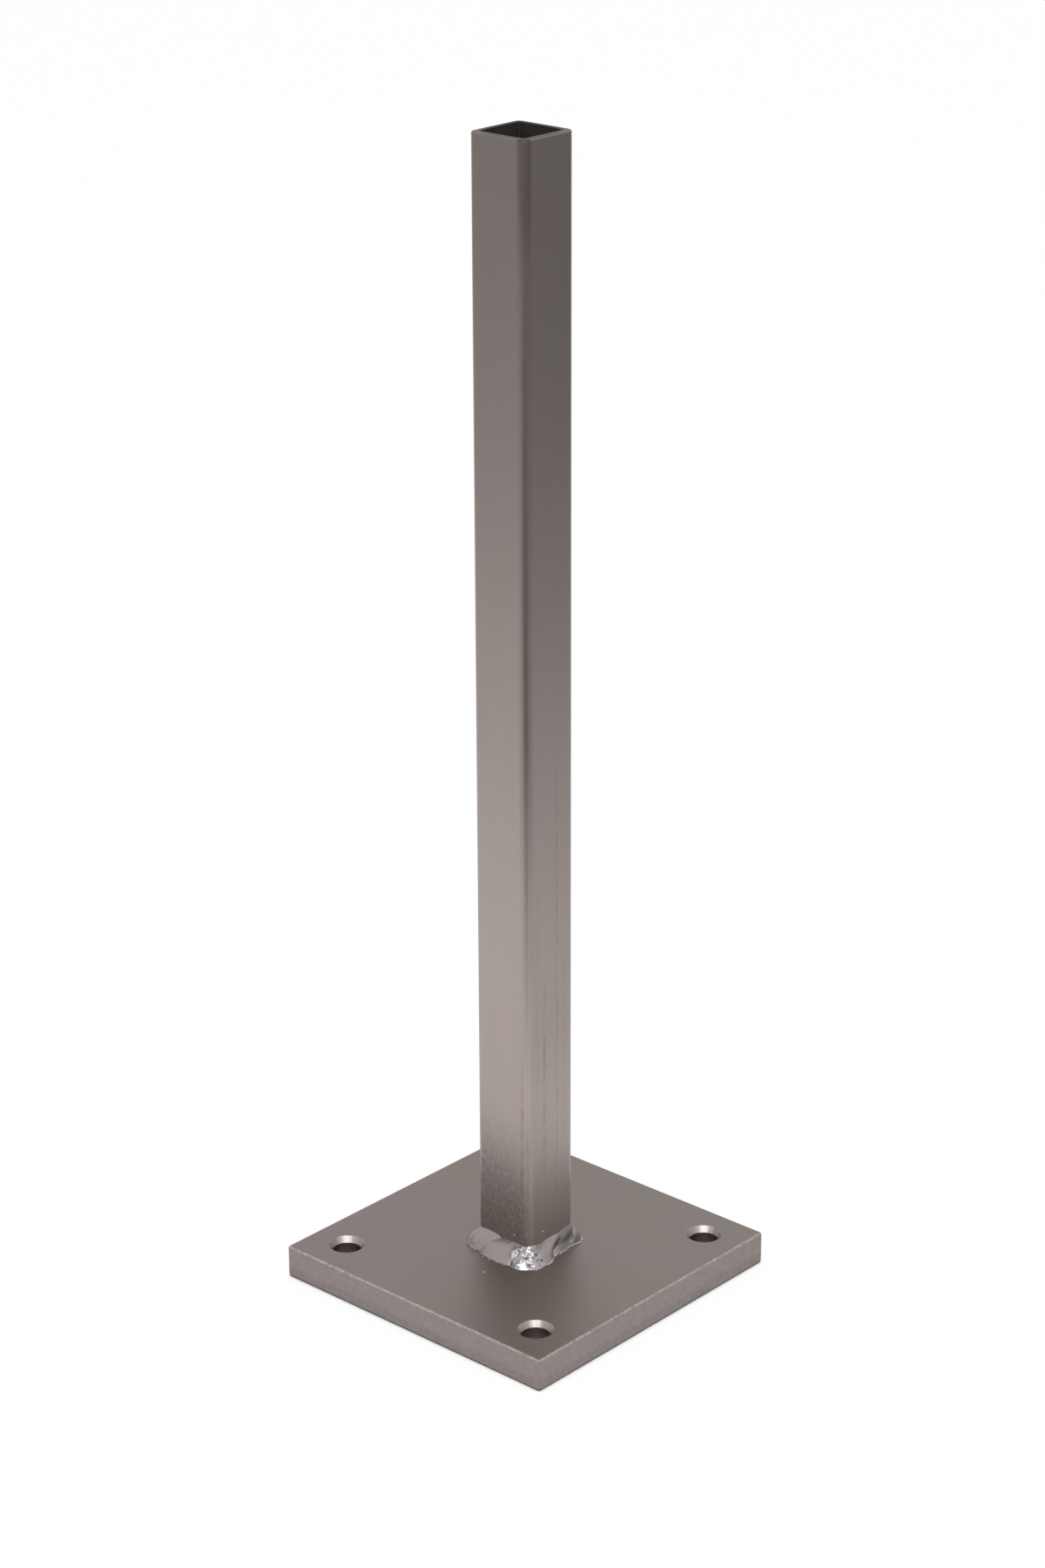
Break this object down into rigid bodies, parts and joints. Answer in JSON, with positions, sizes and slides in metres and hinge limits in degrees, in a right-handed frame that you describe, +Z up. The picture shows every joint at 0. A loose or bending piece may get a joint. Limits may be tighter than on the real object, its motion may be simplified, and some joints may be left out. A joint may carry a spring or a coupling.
{
  "type": "post base",
  "caption": "Bolt-down post base: a thick square plate with countersunk corner holes and a slim open square tube welded upright at its centre, which a hollow post slips over.",
  "frame": {"origin": "centre of the base plate's underside", "axes": "+Z up along the tube; X and Y parallel to the sides of the plate and tube"},
  "size_m": [0.1, 0.1, 0.34],
  "materials": {
    "plate_steel": "bare tumbled steel, satin, warm grey",
    "tube_steel": "bare drawn tube, satin, warm grey, fine grain along the tube",
    "weld_metal": "bare weld metal, bright and smooth"
  },
  "bodies": {
    "root": {"base_plate": "plate_steel", "post_tube": "tube_steel", "weld_bead": "weld_metal"}
  },
  "joints": []
}
